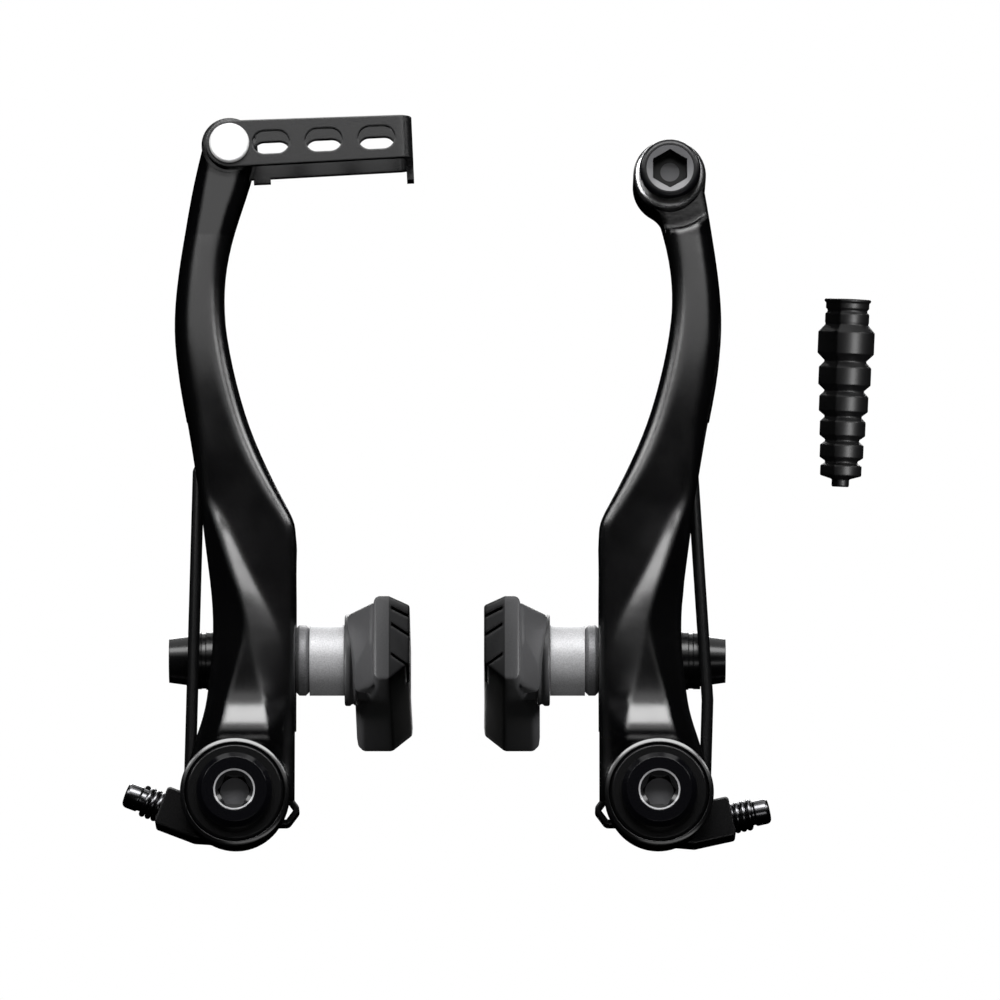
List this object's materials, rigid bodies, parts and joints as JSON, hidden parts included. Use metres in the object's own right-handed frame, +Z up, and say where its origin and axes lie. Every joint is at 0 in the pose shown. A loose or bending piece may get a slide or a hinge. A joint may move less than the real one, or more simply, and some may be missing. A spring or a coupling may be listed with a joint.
{
  "type": "v brake",
  "caption": "Linear-pull rim brake for a bicycle: sprung arms on pivots with adjustable pads, a cable-lead link, a cable clamp bolt and a ribbed cable boot.",
  "frame": {"origin": "midway between the two pivot axes, in the plane of the frame bosses' shoulders", "axes": "+X to the right across the wheel, +Y along the pivots towards the bicycle frame, +Z up"},
  "size_m": [0.1282, 0.0712, 0.1279],
  "materials": {
    "arm_paint": "gloss black paint over forged aluminium",
    "link_paint": "satin black coating on folded steel",
    "black_bolt": "black oxide on steel",
    "spring_wire": "dark drawn wire",
    "holder_plastic": "moulded black plastic",
    "plain_steel": "zinc plate",
    "washer_grey": "grey sintered steel",
    "spacer_silver": "tumbled aluminium",
    "rivet_bright": "polished",
    "clamp_silver": "bright zinc",
    "pad_rubber": "moulded",
    "boot_rubber": "soft moulded"
  },
  "bodies": {
    "root": {"left_pivot_bush": "plain_steel", "left_pivot_bolt": "black_bolt", "left_pivot_washer": "black_bolt", "left_spring": "spring_wire", "left_spring_holder": "holder_plastic", "right_pivot_bush": "plain_steel", "right_pivot_bolt": "black_bolt", "right_pivot_washer": "black_bolt", "right_spring": "spring_wire", "right_spring_holder": "holder_plastic", "boot": "boot_rubber"},
    "left_arm_body": {"left_arm": "arm_paint", "left_spring_hook_pin": "plain_steel", "link_rivet": "rivet_bright"},
    "right_arm_body": {"right_arm": "arm_paint", "right_spring_hook_pin": "plain_steel", "cable_bolt": "black_bolt", "cable_clamp_plate": "clamp_silver"},
    "link": {"cable_lead_link": "link_paint"},
    "left_seat": {"left_inner_convex_washer": "washer_grey", "left_outer_convex_washer": "black_bolt"},
    "left_shoe": {"left_brake_pad": "pad_rubber", "left_pad_post": "plain_steel", "left_thick_spacer": "spacer_silver", "left_thin_spacer": "black_bolt", "left_plain_washer": "black_bolt", "left_pad_nut": "black_bolt"},
    "left_screw": {"left_adjust_screw": "black_bolt"},
    "right_seat": {"right_inner_convex_washer": "washer_grey", "right_outer_convex_washer": "black_bolt"},
    "right_shoe": {"right_brake_pad": "pad_rubber", "right_pad_post": "plain_steel", "right_thick_spacer": "spacer_silver", "right_thin_spacer": "black_bolt", "right_plain_washer": "black_bolt", "right_pad_nut": "black_bolt"},
    "right_screw": {"right_adjust_screw": "black_bolt"}
  },
  "joints": [
    {"name": "left_arm_pivot", "type": "hinge", "parent": "root", "child": "left_arm_body", "pos_m": [-0.03575, 0, 0], "axis": [0, 1, 0], "range_deg": [-30, 8], "stiffness_Nm_per_rad": 1.4, "deforming": ["left_spring"]},
    {"name": "left_shoe_height", "type": "slide", "parent": "left_arm_body", "child": "left_seat", "axis": [0, 0, 1], "range_m": [-0.003, 0.003]},
    {"name": "left_shoe_turn", "type": "hinge", "parent": "left_seat", "child": "left_shoe", "pos_m": [-0.03575, -0.0075, 0.0247], "axis": [1, 0, 0], "range_deg": [-20, 20]},
    {"name": "left_screw_turn", "type": "hinge", "parent": "root", "child": "left_screw", "pos_m": [-0.03751, -0.00605, -0.00457], "axis": [-0.9336, 0, 0.3584], "range_deg": [-720, 720]},
    {"name": "right_arm_pivot", "type": "hinge", "parent": "root", "child": "right_arm_body", "pos_m": [0.03575, 0, 0], "axis": [0, -1, 0], "range_deg": [-30, 8], "stiffness_Nm_per_rad": 1.4, "deforming": ["right_spring"]},
    {"name": "right_shoe_height", "type": "slide", "parent": "right_arm_body", "child": "right_seat", "axis": [0, 0, 1], "range_m": [-0.003, 0.003]},
    {"name": "right_shoe_turn", "type": "hinge", "parent": "right_seat", "child": "right_shoe", "pos_m": [0.03575, -0.0075, 0.0247], "axis": [1, 0, 0], "range_deg": [-20, 20]},
    {"name": "right_screw_turn", "type": "hinge", "parent": "root", "child": "right_screw", "pos_m": [0.03681, -0.00605, -0.00478], "axis": [0.9763, 0, 0.2164], "range_deg": [-720, 720]},
    {"name": "link_pivot", "type": "hinge", "parent": "left_arm_body", "child": "link", "pos_m": [-0.03718, 0, 0.1122], "axis": [0, -1, 0], "range_deg": [-20, 75]}
  ]
}
